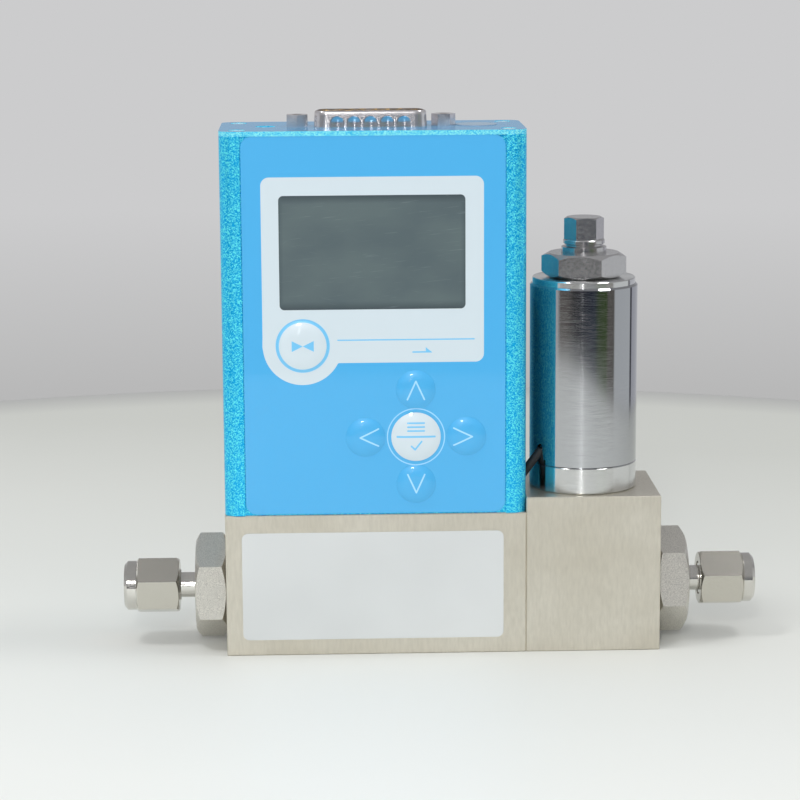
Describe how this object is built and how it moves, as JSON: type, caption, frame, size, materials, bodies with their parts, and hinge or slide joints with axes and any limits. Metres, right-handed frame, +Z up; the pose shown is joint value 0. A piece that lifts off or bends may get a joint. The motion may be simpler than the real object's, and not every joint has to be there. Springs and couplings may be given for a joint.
{
  "type": "gas mass flow meter",
  "caption": "Gas mass flow meter: steel flow body between compression fittings, case with display, keys and connector, and a solenoid control valve.",
  "frame": {"origin": "centre of the underside: midway between the two end faces and midway between front and back", "axes": "+X along the flow from inlet to outlet, +Y from the display side to the back, +Z up"},
  "size_m": [0.1477, 0.0286, 0.1243],
  "materials": {
    "block_steel": "fine vertical grind",
    "fitting_steel": "turned and tumbled",
    "seal_rubber": "smooth",
    "screw_steel": "bright",
    "inner_steel": "machined",
    "inner_aluminium": "plain",
    "copper": "enamelled wire",
    "case_blue": "sparkling cyan anodised",
    "cover_grey": "polished, anodised edge",
    "film_blue": "satin printed film",
    "key_blue": "embossed dome",
    "key_pale": "embossed dome",
    "display": "polished",
    "display_back": "dark",
    "board_green": "lacquered board",
    "black_plastic": "moulded",
    "plated_shell": "bright tin plate",
    "gold_pins": "gold plate",
    "post_steel": "nickel plate",
    "coil_chrome": "mirror",
    "collar_steel": "fine turned",
    "seat_plastic": "smooth",
    "lead_black": "smooth",
    "label_pale": "satin label",
    "seal_pale": "paper seal"
  },
  "bodies": {
    "meter": {"sensor_block": "block_steel", "valve_block": "block_steel", "inlet_fitting": "fitting_steel", "outlet_fitting": "fitting_steel", "inlet_nut": "fitting_steel", "outlet_nut": "fitting_steel", "inlet_front_ferrule": "fitting_steel", "outlet_front_ferrule": "fitting_steel", "inlet_back_ferrule": "fitting_steel", "outlet_back_ferrule": "fitting_steel", "inlet_seal": "seal_rubber", "outlet_seal": "seal_rubber", "joint_seal": "seal_rubber", "sensor_seals": "seal_rubber", "stem_seal": "seal_rubber", "tie_screws": "screw_steel", "sensor_screws": "screw_steel", "bracket_screws": "screw_steel", "case_screws": "screw_steel", "cover_screws": "screw_steel", "jack_nuts": "screw_steel", "flow_element": "inner_steel", "sensor_foot": "inner_steel", "capillary_tube": "inner_steel", "case_bracket": "inner_steel", "plunger_spring": "inner_steel", "sensor_cover": "inner_aluminium", "sensor_windings": "copper", "coil_winding": "copper", "case": "case_blue", "top_cover": "cover_grey", "front_film": "film_blue", "display_glass": "display", "display_frame": "display_back", "key_board": "board_green", "main_board": "board_green", "key_switches": "black_plastic", "dsub_insulator": "black_plastic", "zero_trimmer": "black_plastic", "dsub_shell": "plated_shell", "dsub_pins": "gold_pins", "jackscrews": "post_steel", "coil_housing": "coil_chrome", "coil_collar": "collar_steel", "housing_washer": "collar_steel", "lock_nut": "collar_steel", "valve_stem": "collar_steel", "valve_seat": "seat_plastic", "valve_lead": "lead_black", "rating_label": "label_pale", "check_dot": "seal_pale"},
    "key_valve": {"key_valve": "key_pale"},
    "key_menu": {"key_menu": "key_pale"},
    "key_up": {"key_up": "key_blue"},
    "key_down": {"key_down": "key_blue"},
    "key_left": {"key_left": "key_blue"},
    "key_right": {"key_right": "key_blue"},
    "plunger": {"plunger": "inner_steel"}
  },
  "joints": [
    {"name": "press_valve", "type": "slide", "parent": "meter", "child": "key_valve", "axis": [0, 1, 0], "range_m": [0, 0.00035], "stiffness_N_per_m": 2000},
    {"name": "press_menu", "type": "slide", "parent": "meter", "child": "key_menu", "axis": [0, 1, 0], "range_m": [0, 0.00035], "stiffness_N_per_m": 2000},
    {"name": "press_up", "type": "slide", "parent": "meter", "child": "key_up", "axis": [0, 1, 0], "range_m": [0, 0.00035], "stiffness_N_per_m": 2000},
    {"name": "press_down", "type": "slide", "parent": "meter", "child": "key_down", "axis": [0, 1, 0], "range_m": [0, 0.00035], "stiffness_N_per_m": 2000},
    {"name": "press_left", "type": "slide", "parent": "meter", "child": "key_left", "axis": [0, 1, 0], "range_m": [0, 0.00035], "stiffness_N_per_m": 2000},
    {"name": "press_right", "type": "slide", "parent": "meter", "child": "key_right", "axis": [0, 1, 0], "range_m": [0, 0.00035], "stiffness_N_per_m": 2000},
    {"name": "lift_plunger", "type": "slide", "parent": "meter", "child": "plunger", "axis": [0, 0, 1], "range_m": [0, 0.0004], "stiffness_N_per_m": 800, "springref_m": -0.002, "deforming": ["plunger_spring"]}
  ]
}
